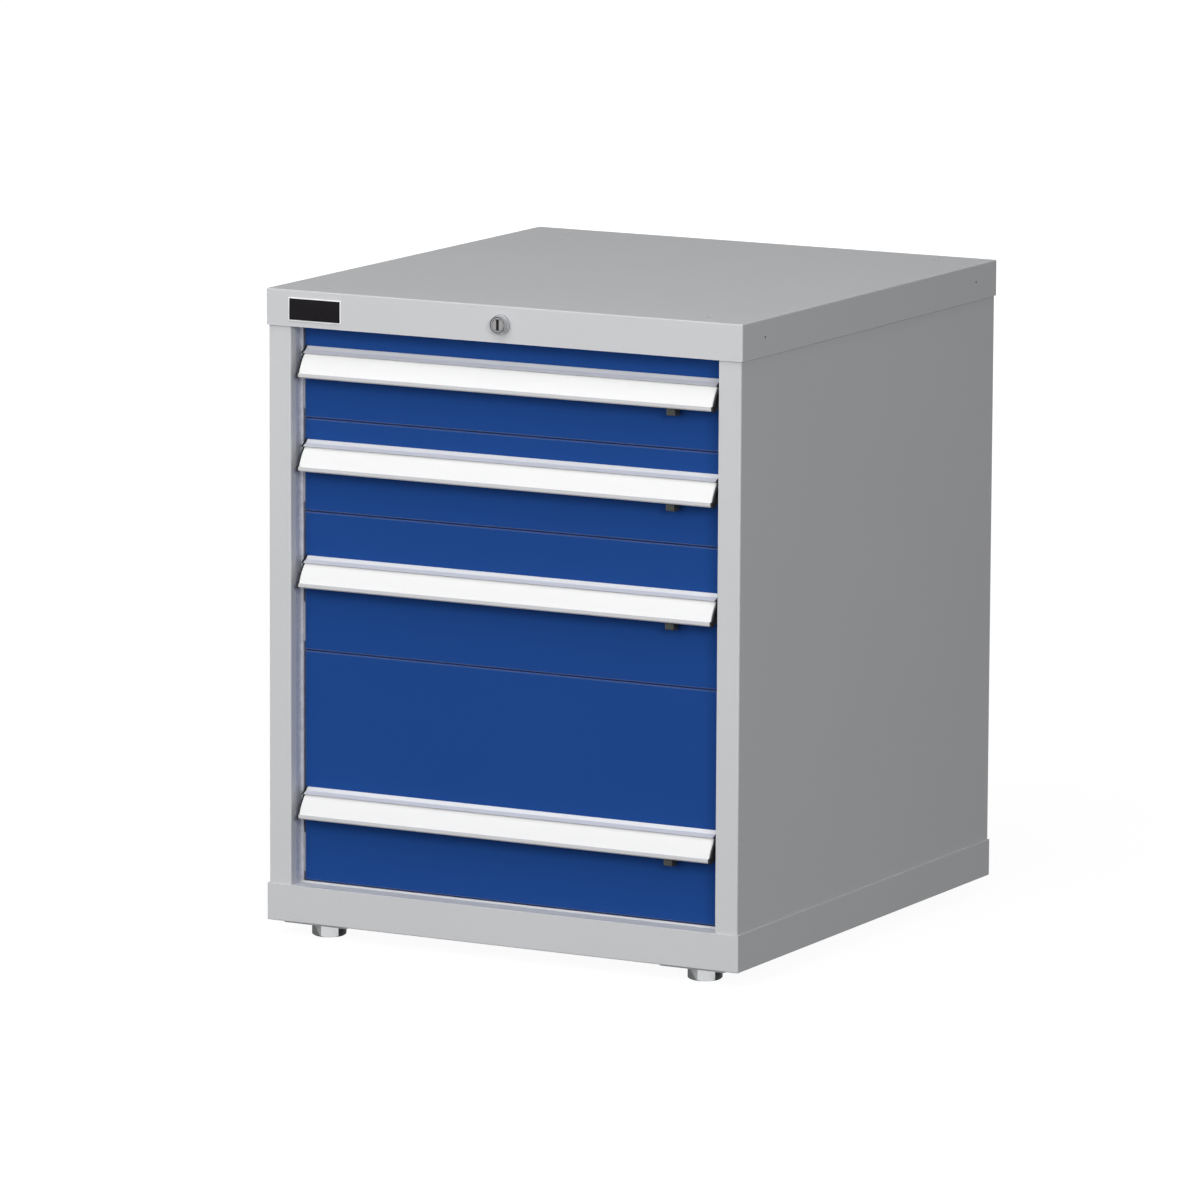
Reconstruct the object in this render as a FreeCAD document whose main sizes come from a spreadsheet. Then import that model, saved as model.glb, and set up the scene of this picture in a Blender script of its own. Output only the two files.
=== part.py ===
import FreeCAD, Part
import math
import os
import re
import Sketcher
from FreeCAD import Placement, Rotation, Vector

# Heavy-duty tool cabinet: a folded sheet-steel housing on four levelling feet, four drawers on
# ball slides, a bow handle with a label strip and a safety catch on each, and a central lock.
# Millimetres, +Z up, front towards -Y, origin under the middle of the whole part's box.

SIZES = {
    # housing
    "width": 567,
    "depth": 600,
    "cover_height": 39,
    "base_height": 40,
    "cover_sheet": 2,
    "panel_sheet": 1.5,
    "back_sheet": 1.2,
    "bend_radius": 1.4,
    "post_width": 26.6,
    "post_return": 10.9,
    "rear_flange": 20,
    "ledge_depth": 21.6,
    "sill_gap": 0.4,
    # slotted uprights
    "upright_sheet": 2.5,
    "upright_depth": 40,
    "upright_step": 2.5,
    "slot_pitch": 25,
    "slot_width": 5,
    "slot_height": 12,
    "slot_margin": 20,
    # drawer stack, counted from the top
    "drawer_1_pitch": 100,
    "drawer_2_pitch": 100,
    "drawer_3_pitch": 150,
    "drawer_4_pitch": 250,
    "cover_gap": 2,
    # drawer fronts
    "front_recess": 24,
    "front_sheet": 1.2,
    "front_fold": 18,
    "front_lift": 2.3,
    "front_gap": 0.8,
    "side_gap": 2,
    "front_radius": 1.2,
    "relief_gap": 1.3,
    # drawer boxes
    "box_sheet": 1,
    "box_lift": 6,
    "box_headroom": 22,
    "rear_space": 40,
    "box_hem": 8,
    "divider_pitch": 24,
    "divider_slot": 2.4,
    "divider_slot_height": 26,
    "divider_margin": 20,
    "tab_width": 30,
    "tab_reach": 13,
    "tab_sheet": 1.5,
    "tab_top": 41.5,
    "tab_lip": 11.5,
    # telescopic slides
    "slide_shortfall": 34.8,
    "slide_thickness": 12.7,
    "slide_height": 42,
    "slide_lift": 11.4,
    "slide_setback": 2,
    "rail_sheet": 1.2,
    "outer_flange": 9.5,
    "outer_lip": 3.2,
    "middle_place": 3,
    "middle_width": 7.6,
    "middle_lip": 3.2,
    "middle_setback": 2,
    "inner_width": 7.3,
    "outer_race": 4,
    "inner_race": 3.6,
    "ball_play": 0.3,
    "ball_spacing": 55,
    # handle profile, measured forwards and down from its top rear edge
    "handle_rise_low": 79.2,
    "handle_rise_high": 104.2,
    "handle_inset": 3.9,
    "handle_height": 32,
    "lip_reach": 21.4,
    "hood_reach": 10.8,
    "hood_drop": 6.4,
    "hood_edge": 1,
    "hood_shoulder_reach": 4.5,
    "hood_shoulder_drop": 3.6,
    "label_top": 7.4,
    "label_bottom": 27.1,
    "label_tuck": 1.1,
    "label_sheet": 0.6,
    "label_play": 0.1,
    "label_end_play": 0.5,
    "grip_radius": 52,
    "grip_reach": 15,
    "grip_lean": 30.6,
    "grip_wall": 1.8,
    "lip_wall": 4,
    "flange_sheet": 2,
    "flange_drop": 24.7,
    "rib_reach": 4.7,
    "rib_sheet": 1.2,
    "rib_lip": 1,
    "rib_lip_height": 2,
    "end_cap": 2,
    "end_cap_proud": 0.6,
    # safety catch
    "catch_from_end": 51,
    "catch_width": 9.6,
    "catch_play": 0.3,
    "catch_bar_height": 7,
    "catch_bar_depth": 2.9,
    "catch_neck_top": 17.7,
    "catch_thumb_front": 14.8,
    "catch_thumb_back": 3.5,
    "catch_thumb_drop": 40.7,
    "catch_travel": 5,
    "keeper_gap": 0.5,
    "keeper_play": 1,
    # nameplate and lock
    "plate_inset": 28.5,
    "plate_width": 61.6,
    "plate_height": 23,
    "plate_sheet": 1,
    "plate_below_top": 8.9,
    "lock_below_top": 19.2,
    "lock_proud": 8.5,
    "collar_diameter": 21.2,
    "collar_proud": 3.5,
    "sleeve_diameter": 17.8,
    "barrel_diameter": 19,
    "barrel_length": 24,
    "plug_diameter": 13.4,
    "plug_setback": 0.3,
    "plug_play": 0.1,
    "key_slot_width": 2.3,
    "key_slot_height": 11,
    "key_slot_depth": 6,
    "nut_flats": 24,
    "nut_height": 5,
    "fit_play": 0.1,
    # central locking
    "rod_diameter": 8,
    "crank_gap": 6,
    "rod_play": 0.2,
    "bracket_gap": 11,
    "bracket_width": 28,
    "bracket_drop": 11,
    "bracket_sheet": 1.5,
    "crank_radius": 8,
    "crank_sheet": 5,
    "crank_pin": 4,
    "crank_pin_length": 10,
    "bar_setback": 17,
    "bar_sheet": 3,
    "bar_width": 40,
    "bar_foot": 8,
    "bar_head": 7,
    "hook_width": 20,
    "hook_gap": 2,
    "hook_sheet": 2,
    "hook_nose_gap": 3.5,
    "hook_drop": 12,
    "guide_lift": 60,
    "guide_height": 16,
    "guide_wall": 2,
    "guide_play": 0.4,
    # feet
    "foot_height": 17.5,
    "foot_inset_side": 56.5,
    "foot_inset_end": 35,
    "foot_flats": 32,
    "foot_chamfer": 1.6,
    "foot_turn": 28,
    "stud_diameter": 12,
    "stud_play": 0.5,
    "stud_top": 35,
    "foot_nut_flats": 19,
    "foot_nut_height": 10,
    "foot_plate_width": 76,
    "foot_plate_depth": 60,
    "foot_plate_sheet": 2,
    # small holes and screws
    "top_hole_diameter": 7,
    "side_hole_diameter": 3,
    "side_hole_inset": 51,
    "side_hole_below_top": 19,
    "screw_head": 7,
    "screw_head_height": 1.6,
    "screw_shank": 4,
    "screw_inset": 10,
    "screw_margin": 45,
}

SCREW_ROWS = 5
BALLS_PER_ROW = 4
RISES = {"1": "handle_rise_low", "2": "handle_rise_low",
         "3": "handle_rise_high", "4": "handle_rise_high"}
DRAWERS = ("1", "2", "3", "4")

# Places worked out from the sizes. Housing places count from the cover's front face and the
# underside of the base; drawer places from the drawer's front plane and its own floor line.
PLACES = {
    "shell_front": "(lock_proud - depth) / 2",
    "half_width": "width / 2",
    "body_side": "width / 2 - cover_sheet",
    "post_inside": "body_side - post_width",
    "body_back": "depth - cover_sheet - back_sheet",
    "upright_face": "post_inside - upright_step",
    "upright_front": "front_recess",
    "drawer_4_floor": "base_height",
    "drawer_3_floor": "drawer_4_floor + drawer_4_pitch",
    "drawer_2_floor": "drawer_3_floor + drawer_3_pitch",
    "drawer_1_floor": "drawer_2_floor + drawer_2_pitch",
    "cover_bottom": "drawer_1_floor + drawer_1_pitch + cover_gap",
    "shell_top": "cover_bottom + cover_height",
    "inside_height": "shell_top - 2 * cover_sheet",
    "front_half": "upright_face - side_gap",
    "box_half": "upright_face - slide_thickness",
    "box_length": "depth - rear_space - front_recess - front_sheet",
    "slide_length": "box_length - slide_shortfall",
    "rear_upright_place": "front_recess + slide_setback + slide_length - upright_depth",
    "handle_length": "2 * (front_half - handle_inset)",
    "slide_middle": "slide_lift + slide_height / 2",
    "half_slide": "slide_height / 2",
    "middle_half": "half_slide - rail_sheet - outer_race",
    "inner_half": "middle_half - rail_sheet - inner_race",
    "lock_height": "shell_top - lock_below_top",
    "foot_x": "half_width - foot_inset_side",
    "bar_place": "depth - bar_setback",
    "rod_end": "bar_place - crank_gap - crank_sheet",
    "bracket_place": "rod_end - bracket_gap",
    "bar_bottom": "base_height + bar_foot",
    "bar_top": "lock_height + bar_head",
    "grip_back": "grip_radius * cos(grip_lean * 1deg) - grip_reach",
    "grip_drop": "(label_top + label_bottom) / 2 + grip_radius * sin(grip_lean * 1deg)",
    "label_outer": "grip_radius",
    "label_inner": "grip_radius - label_sheet",
    "wall_outer": "grip_radius - label_sheet - label_play",
    "wall_inner": "wall_outer - grip_wall",
    "slot_outer": "grip_radius + label_play",
    "rib_bottom": "flange_drop",
    "rib_top": "flange_drop - rib_sheet",
    "rib_end": "flange_sheet + rib_reach",
    "catch_bar_bottom": "rib_top - catch_play",
    "catch_bar_top": "catch_bar_bottom - catch_bar_height",
    "catch_bar_back": "flange_sheet + catch_play",
    "catch_bar_front": "catch_bar_back + catch_bar_depth",
    "catch_neck_bottom": "rib_top - rib_lip_height - catch_play",
    "catch_neck_back": "rib_end + catch_play",
    "catch_neck_front": "catch_neck_back + catch_bar_depth",
    "catch_left": "handle_length / 2 - catch_from_end - catch_width / 2",
}

doc = FreeCAD.newDocument("tool_cabinet")
sheet = doc.addObject("Spreadsheet::Sheet", "Sizes")
for row, (alias, value) in enumerate(SIZES.items(), start=1):
    sheet.set("A%d" % row, alias)
    sheet.set("B%d" % row, str(value))
    sheet.setAlias("B%d" % row, alias)
doc.recompute()

nodes = []


def ex(text):
    """An expression for a property: sizes point at the sheet and places are spelled out."""
    def swap(match):
        word = match.group(0)
        if word in PLACES:
            return "(" + ex(PLACES[word]) + ")"
        return "Sizes." + word if word in SIZES else word
    return re.sub(r"[a-z][a-z0-9_]*", swap, str(text))


def num(text):
    """The value of an expression, as a plain number."""
    return float(sheet.evalExpression(ex(text)))


def on_grip(radius, drop):
    """How far forward a grip arc of this radius lies at this drop below the handle's top."""
    return "sqrt((%s)^2 - (%s - grip_drop)^2) - grip_back" % (radius, drop)


def new_body(name, place=("0", "0", "0")):
    body = doc.addObject("PartDesign::Body", name)
    body.Label = name
    move(body, place)
    return body


def move(thing, place):
    for axis, text in zip("xyz", place):
        thing.setExpression("Placement.Base." + axis, ex(text))


def housing_place(x="0", y="0", z="0"):
    return (x, "shell_front + " + y, "foot_height + " + z)


def drawer_place(number):
    return housing_place("0", "front_recess", "drawer_%s_floor" % number)


def plane_of(body, role):
    return [plane for plane in body.Origin.OriginFeatures if plane.Role == role][0]


def on_plane(sketch, body, role, start):
    sketch.AttachmentSupport = [(plane_of(body, role), "")]
    sketch.MapMode = "FlatFace"
    sign = "-1" if role == "XZ_Plane" else "1"
    sketch.setExpression("AttachmentOffset.Base.z", ex("%s * (%s)" % (sign, start)))


def bind(sketch, kind, geometry, point, text):
    number = sketch.addConstraint(Sketcher.Constraint(kind, -1, 1, geometry, point, num(text)))
    sketch.setExpression("Constraints[%d]" % number, ex(text))


def draw_loop(sketch, corners):
    """One closed outline. A corner is (u, v), or (u, v, radius, centre u, centre v) where an
    arc leads on to the next corner."""
    points = [Vector(num(corner[0]), num(corner[1]), 0) for corner in corners]
    lines = []
    for index, corner in enumerate(corners):
        start = points[index]
        end = points[(index + 1) % len(points)]
        if len(corner) == 2:
            lines.append(sketch.addGeometry(Part.LineSegment(start, end), False))
            continue
        centre = Vector(num(corner[3]), num(corner[4]), 0)
        middle = (start + end) / 2 - centre
        middle = centre + middle.normalize() * num(corner[2])
        lines.append(sketch.addGeometry(Part.Arc(start, middle, end), False))
    starts = [arc_ends(sketch, line, points[index]) for index, line in enumerate(lines)]
    for index, line in enumerate(lines):
        following = (index + 1) % len(lines)
        sketch.addConstraint(Sketcher.Constraint(
            "Coincident", line, 3 - starts[index], lines[following], starts[following]))
    for index, corner in enumerate(corners):
        bind(sketch, "DistanceX", lines[index], starts[index], corner[0])
        bind(sketch, "DistanceY", lines[index], starts[index], corner[1])
        if len(corner) > 2:
            number = sketch.addConstraint(
                Sketcher.Constraint("Radius", lines[index], num(corner[2])))
            sketch.setExpression("Constraints[%d]" % number, ex(corner[2]))


def arc_ends(sketch, line, start):
    """1 where the geometry's own start is the outline's start, and 2 where it is turned."""
    return 1 if sketch.getPoint(line, 1).distanceToPoint(start) < 1e-6 else 2


def box_loop(left, right, low, high):
    return [(left, low), (right, low), (right, high), (left, high)]


def new_sketch(body, role, start, loops, circles=()):
    sketch = body.newObject("Sketcher::SketchObject", body.Name + "_sketch")
    on_plane(sketch, body, role, start)
    for loop in loops:
        draw_loop(sketch, loop)
    for u, v, diameter in circles:
        centre = Vector(num(u), num(v), 0)
        circle = sketch.addGeometry(Part.Circle(centre, Vector(0, 0, 1), num(diameter) / 2), False)
        bind(sketch, "DistanceX", circle, 3, u)
        bind(sketch, "DistanceY", circle, 3, v)
        number = sketch.addConstraint(Sketcher.Constraint("Diameter", circle, num(diameter)))
        sketch.setExpression("Constraints[%d]" % number, ex(diameter))
    return sketch


def pad(body, role, start, length, loops, circles=()):
    """Material from start onwards along the plane's own axis."""
    feature = body.newObject("PartDesign::Pad", body.Name + "_pad")
    feature.Profile = new_sketch(body, role, start, loops, circles)
    feature.setExpression("Length", ex(length))
    feature.Reversed = role == "XZ_Plane"
    doc.recompute()
    return feature


def cut(body, role, start, length, loops, circles=()):
    """A pocket from start onwards along the plane's own axis."""
    before = body.Shape.Volume
    feature = body.newObject("PartDesign::Pocket", body.Name + "_pocket")
    feature.Profile = new_sketch(body, role, start, loops, circles)
    feature.setExpression("Length", ex(length))
    feature.Reversed = role != "XZ_Plane"
    doc.recompute()
    if body.Shape.Volume > before - 1e-3:
        raise RuntimeError("a pocket of %s cuts nothing" % body.Name)
    return feature


def repeat(body, feature, role, pitch, count):
    """Copies of a feature in a row along the named origin axis of the body."""
    pattern = body.newObject("PartDesign::LinearPattern", body.Name + "_row")
    pattern.Originals = [feature]
    axis = [line for line in body.Origin.OriginFeatures if line.Role == role][0]
    pattern.Direction = (axis, [""])
    pattern.Mode = "Spacing"
    pattern.setExpression("Offset", ex(pitch))
    pattern.setExpression("Occurrences", ex("floor(%s)" % count))
    body.Tip = pattern
    doc.recompute()
    return pattern


def round_edges(body, radius, wanted):
    """Fillet the edges of the body whose two ends both pass the test."""
    base = body.Tip
    names = []
    for number, edge in enumerate(base.Shape.Edges, start=1):
        if len(edge.Vertexes) == 2 and wanted(edge.Vertexes[0].Point, edge.Vertexes[1].Point):
            names.append("Edge%d" % number)
    fillet = body.newObject("PartDesign::Fillet", body.Name + "_bends")
    fillet.Base = (base, names)
    fillet.setExpression("Radius", ex(radius))
    doc.recompute()


def near(value, target):
    return abs(value - target) < 1e-4


def mirrored(source):
    other = doc.addObject("Part::Mirroring", source.Name + "_other_hand")
    other.Source = source
    other.Normal = Vector(1, 0, 0)
    return other


def group(name, members):
    compound = doc.addObject("Part::Compound", name)
    compound.Label = name
    compound.Links = members
    nodes.append(compound)
    return compound


def hexagon(flats, turn):
    """Corners of a hexagon across these flats, with a flat turned this far from -Y."""
    corners = []
    for index in range(6):
        angle = "(%s - 60 + %d) * pi / 180" % (turn, 60 * index)
        reach = "(%s) / sqrt(3)" % flats
        corners.append(("%s * cos((%s) * 1rad)" % (reach, angle),
                        "%s * sin((%s) * 1rad)" % (reach, angle)))
    return corners


# Housing

def folded_tray(name, low, floor_low, mouth_low):
    """A folded tray: outside block, hollowed from its open side."""
    body = new_body(name, housing_place(z=low))
    height = "cover_height" if name == "top_cover" else "base_height"
    outside = box_loop("-half_width", "half_width", "0", "depth")
    inside = box_loop("-body_side", "body_side", "cover_sheet", "depth - cover_sheet")
    pad(body, "XY_Plane", "0", height, [outside])
    half = num("half_width")
    deep = num("depth")
    corner = [(x, y) for x in (-half, half) for y in (0, deep)]
    flat = num(floor_low) if name == "base_tray" else num(height)

    def outer(a, b):
        upright = near(a.x, b.x) and near(a.y, b.y) and any(
            near(a.x, x) and near(a.y, y) for x, y in corner)
        return upright or (near(a.z, flat) and near(b.z, flat))

    round_edges(body, "bend_radius", outer)
    cut(body, "XY_Plane", mouth_low, height + " - cover_sheet", [inside])
    return body


def ledge(body, low):
    loop = box_loop("-post_inside + fit_play", "post_inside - fit_play",
                    "cover_sheet", "cover_sheet + ledge_depth")
    pad(body, "XY_Plane", low, "cover_sheet", [loop])


def make_top_cover():
    body = folded_tray("top_cover", "cover_bottom", "cover_height", "0")
    ledge(body, "0")
    corners = [(x, y, "top_hole_diameter")
               for x in ("-foot_x", "foot_x") for y in ("foot_inset_end", "depth - foot_inset_end")]
    cut(body, "XY_Plane", "cover_height - 2 * cover_sheet", "3 * cover_sheet", [], corners)
    cut(body, "XZ_Plane", "-cover_sheet", "3 * cover_sheet", [],
        [("0", "cover_height - lock_below_top", "barrel_diameter + 2 * fit_play")])
    sides = [(y, "cover_height - side_hole_below_top", "side_hole_diameter")
             for y in ("side_hole_inset", "depth - side_hole_inset")]
    cut(body, "YZ_Plane", "-half_width - cover_sheet", "3 * cover_sheet", [], sides)
    cut(body, "YZ_Plane", "half_width - 2 * cover_sheet", "3 * cover_sheet", [], sides)
    nodes.append(body)


def make_base_tray():
    body = folded_tray("base_tray", "0", "0", "cover_sheet")
    ledge(body, "base_height - cover_sheet")
    # the ledge's rear edge is turned up to just under the lowest drawer front
    pad(body, "XY_Plane", "base_height - cover_sheet", "cover_sheet + front_lift - sill_gap",
        [box_loop("-post_inside + fit_play", "post_inside - fit_play",
                  "ledge_depth", "cover_sheet + ledge_depth")])
    corners = [(x, y, "stud_diameter + 2 * stud_play")
               for x in ("-foot_x", "foot_x") for y in ("foot_inset_end", "depth - foot_inset_end")]
    cut(body, "XY_Plane", "-cover_sheet", "3 * cover_sheet", [], corners)
    nodes.append(body)


def side_section(side):
    """A side panel with its front post and rear flange, seen from above."""
    corners = [
        ("post_inside", "cover_sheet"),
        ("body_side", "cover_sheet"),
        ("body_side", "body_back"),
        ("body_side - rear_flange", "body_back"),
        ("body_side - rear_flange", "body_back - panel_sheet"),
        ("body_side - panel_sheet", "body_back - panel_sheet"),
        ("body_side - panel_sheet", "cover_sheet + panel_sheet"),
        ("post_inside + panel_sheet", "cover_sheet + panel_sheet"),
        ("post_inside + panel_sheet", "cover_sheet + post_return"),
        ("post_inside", "cover_sheet + post_return"),
    ]
    return [("%d * (%s)" % (side, u), v) for u, v in corners]


def make_side_panel(name, side):
    body = new_body(name, housing_place())
    pad(body, "XY_Plane", "cover_sheet", "inside_height", [side_section(side)])
    front = num("cover_sheet")
    columns = (num("post_inside"), num("body_side"))

    def bend(a, b):
        return near(a.y, front) and near(b.y, front) and near(a.x, b.x) and any(
            near(abs(a.x), column) for column in columns)

    round_edges(body, "panel_sheet", bend)
    nodes.append(body)


def make_back_panel():
    body = new_body("back_panel", housing_place())
    pad(body, "XZ_Plane", "body_back", "back_sheet",
        [box_loop("-body_side", "body_side", "cover_sheet", "cover_sheet + inside_height")])
    holes = [(x, z, "screw_shank + 2 * fit_play") for x, z in screw_places()]
    cut(body, "XZ_Plane", "body_back - back_sheet", "3 * back_sheet", [], holes)
    nodes.append(body)


def screw_places():
    places = []
    for side in (-1, 1):
        for index in range(SCREW_ROWS):
            height = "screw_margin + (shell_top - 2 * screw_margin) * %d / %d" % (
                index, SCREW_ROWS - 1)
            places.append(("%d * (body_side - screw_inset)" % side, height))
    return places


def make_back_screws():
    face = num("body_back + back_sheet")
    screws = []
    for x, z in screw_places():
        start = Vector(num(x), face, num(z))
        shank = Part.makeCylinder(num("screw_shank") / 2, num("back_sheet"), start, Vector(0, -1, 0))
        head = Part.makeCylinder(num("screw_head") / 2, num("screw_head_height"), start,
                                 Vector(0, 1, 0))
        rim = [edge for edge in head.Edges if near(edge.CenterOfMass.y,
                                                   face + num("screw_head_height"))]
        head = head.makeFillet(num("screw_head_height") * 0.6, rim)
        screws.append(head.fuse(shank).removeSplitter())
    feature = doc.addObject("Part::Feature", "back_screws")
    feature.Label = "back_screws"
    feature.Shape = Part.makeCompound(screws)
    feature.Placement = Placement(
        Vector(0, num("shell_front"), num("foot_height")), Rotation())
    nodes.append(feature)


def make_uprights():
    """A slotted channel behind each post and one further back, on both sides."""
    members = []
    for name, start in (("front_upright", "upright_front"), ("rear_upright", "rear_upright_place")):
        body = new_body(name, housing_place(y=start))
        section = [
            ("upright_face", "0"),
            ("body_side - panel_sheet", "0"),
            ("body_side - panel_sheet", "upright_sheet"),
            ("upright_face + upright_sheet", "upright_sheet"),
            ("upright_face + upright_sheet", "upright_depth - upright_sheet"),
            ("body_side - panel_sheet", "upright_depth - upright_sheet"),
            ("body_side - panel_sheet", "upright_depth"),
            ("upright_face", "upright_depth"),
        ]
        pad(body, "XY_Plane", "cover_sheet", "inside_height", [section])
        slot = cut(body, "YZ_Plane", "upright_face - upright_sheet", "3 * upright_sheet",
                   [box_loop("(upright_depth - slot_width) / 2", "(upright_depth + slot_width) / 2",
                             "slot_margin", "slot_margin + slot_height")])
        repeat(body, slot, "Z_Axis", "slot_pitch",
               "(inside_height - 2 * slot_margin) / slot_pitch")
        members += [body, mirrored(body)]
    group("uprights", members)


def make_keeper_strips():
    """Strips that fill the step from each post's return to its upright. The right one has the
    keeper slots for the catches."""
    members = []
    start = "cover_sheet + post_return"
    for name, side in (("left_keeper_strip", -1), ("right_keeper_strip", 1)):
        body = new_body(name, housing_place(z="cover_sheet"))
        near_face = "%d * (post_inside)" % side
        far_face = "%d * (post_inside + upright_sheet)" % side
        pad(body, "XY_Plane", "0", "inside_height",
            [box_loop(near_face, far_face, start, "upright_front")])
        members.append(body)
    keepers = []
    for number in DRAWERS:
        top = "drawer_%s_floor - cover_sheet + %s" % (number, RISES[number])
        keepers.append(box_loop(
            "front_recess - catch_bar_front - keeper_play",
            "front_recess - catch_bar_back + keeper_play",
            top + " - catch_bar_bottom - keeper_play", top + " - catch_bar_top + keeper_play"))
    cut(members[1], "YZ_Plane", "post_inside - upright_sheet", "3 * upright_sheet", keepers)
    group("keeper_strips", members)


def make_nameplate():
    body = new_body("nameplate", housing_place())
    high = "shell_top - plate_below_top"
    pad(body, "XZ_Plane", "-plate_sheet", "plate_sheet",
        [box_loop("plate_inset - half_width", "plate_inset + plate_width - half_width", high + " - plate_height", high)])
    front = num("-plate_sheet")

    def face_rim(a, b):
        return near(a.y, front) and near(b.y, front)

    round_edges(body, "plate_sheet / 3", face_rim)
    nodes.append(body)


# Feet

def foot_corners():
    return [(name, x, y)
            for name, x, y in (("front_left", "-foot_x", "foot_inset_end"),
                               ("front_right", "foot_x", "foot_inset_end"),
                               ("rear_left", "-foot_x", "depth - foot_inset_end"),
                               ("rear_right", "foot_x", "depth - foot_inset_end"))]


def make_foot_plates():
    members = []
    for name, x, y in foot_corners():
        body = new_body("plate_" + name, housing_place(x, y))
        pad(body, "XY_Plane", "-foot_plate_sheet", "foot_plate_sheet",
            [box_loop("-foot_plate_width / 2", "foot_plate_width / 2",
                      "-foot_plate_depth / 2", "foot_plate_depth / 2")],
            [("0", "0", "stud_diameter + 2 * stud_play")])
        members.append(body)
    group("foot_plates", members)


def make_foot_nuts():
    """The nuts that the feet screw into, welded to the base."""
    members = []
    for name, x, y in foot_corners():
        body = new_body("nut_" + name, housing_place(x, y))
        pad(body, "XY_Plane", "cover_sheet", "foot_nut_height",
            [hexagon("foot_nut_flats", "0")], [("0", "0", "stud_diameter + 2 * stud_play")])
        members.append(body)
    return members


def make_feet():
    for name, x, y in foot_corners():
        body = new_body("foot_" + name, housing_place(x, y))
        pad(body, "XY_Plane", "-foot_height", "foot_height - foot_plate_sheet",
            [hexagon("foot_flats", "foot_turn")])
        chamfer = body.newObject("PartDesign::Groove", body.Name + "_chamfer")
        profile = new_sketch(body, "XZ_Plane", "0", [[
            ("foot_flats / 2 - foot_chamfer / 2", "-foot_height - 1"),
            ("foot_flats", "-foot_height - 1"),
            ("foot_flats", "-foot_height + foot_chamfer + (foot_flats * 0.423 - foot_chamfer) / 2"),
            ("foot_flats / 2 - foot_chamfer / 2", "-foot_height"),
        ]])
        chamfer.Profile = profile
        chamfer.ReferenceAxis = (
            [line for line in body.Origin.OriginFeatures if line.Role == "Z_Axis"][0], [""])
        chamfer.Angle = 360
        doc.recompute()
        pad(body, "XY_Plane", "-foot_plate_sheet", "foot_plate_sheet + stud_top", [],
            [("0", "0", "stud_diameter")])
        nodes.append(body)


# Lock

def make_lock():
    housing = new_body("lock_housing", housing_place("0", "0", "lock_height"))
    bore = ("0", "0", "plug_diameter + 2 * plug_play")
    pad(housing, "XZ_Plane", "0", "barrel_length", [], [("0", "0", "barrel_diameter"), bore])
    pad(housing, "XZ_Plane", "-collar_proud", "collar_proud", [],
        [("0", "0", "collar_diameter"), bore])
    pad(housing, "XZ_Plane", "-lock_proud", "lock_proud - collar_proud", [],
        [("0", "0", "sleeve_diameter"), bore])
    nodes.append(housing)

    nut = new_body("lock_nut", housing_place("0", "0", "lock_height"))
    pad(nut, "XZ_Plane", "cover_sheet", "nut_height", [hexagon("nut_flats", "0")],
        [("0", "0", "barrel_diameter + 2 * fit_play")])

    plug = new_body("lock_plug", housing_place("0", "0", "lock_height"))
    pad(plug, "XZ_Plane", "plug_setback - lock_proud",
        "lock_proud - plug_setback + barrel_length + cover_sheet",
        [], [("0", "0", "plug_diameter")])
    cut(plug, "XZ_Plane", "plug_setback - lock_proud", "key_slot_depth",
        [box_loop("-key_slot_width / 2", "key_slot_width / 2",
                  "-key_slot_height / 2", "key_slot_height / 2")])
    nodes.append(plug)

    rod = new_body("lock_rod", housing_place("0", "0", "lock_height"))
    pad(rod, "XZ_Plane", "barrel_length + cover_sheet", "rod_end - barrel_length - cover_sheet",
        [], [("0", "0", "rod_diameter")])
    pad(rod, "XZ_Plane", "rod_end", "crank_sheet",
        [box_loop("-crank_radius - rod_diameter / 2", "rod_diameter / 2",
                  "-rod_diameter / 2", "rod_diameter / 2")])
    pad(rod, "XZ_Plane", "rod_end + crank_sheet", "crank_pin_length", [],
        [("-crank_radius", "0", "crank_pin")])
    nodes.append(rod)
    return nut


def make_lock_bar():
    """The bar slides up to lock. Its slot leaves the crank pin the play that a quarter turn
    at a steady ratio needs."""
    body = new_body("lock_bar", housing_place("0", "bar_place"))
    pad(body, "XZ_Plane", "0", "bar_sheet",
        [box_loop("-bar_width / 2", "bar_width / 2", "bar_bottom", "bar_top")])
    rise = "crank_radius * 0.2106"
    cut(body, "XZ_Plane", "-bar_sheet", "3 * bar_sheet",
        [box_loop("-crank_radius - crank_pin / 2 - 3 * catch_play", "crank_pin / 2 + 3 * catch_play",
                  "lock_height - crank_pin / 2 - catch_play",
                  "lock_height + crank_pin / 2 + catch_play + " + rise)])
    nose = "rear_space - bar_setback - tab_reach + tab_sheet + hook_nose_gap"
    for number in DRAWERS:
        lip = "drawer_%s_floor + tab_top - tab_lip" % number
        top = lip + " - hook_gap"
        section = [
            ("0", top + " - hook_drop"),
            ("0", top + " - hook_drop + hook_sheet"),
            ("hook_sheet - (%s)" % nose, top + " - hook_drop + hook_sheet"),
            ("hook_sheet - (%s)" % nose, top),
            ("-(%s)" % nose, top),
            ("-(%s)" % nose, top + " - hook_drop"),
        ]
        pad(body, "YZ_Plane", "-hook_width / 2", "hook_width", [section])
    nodes.append(body)


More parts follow.
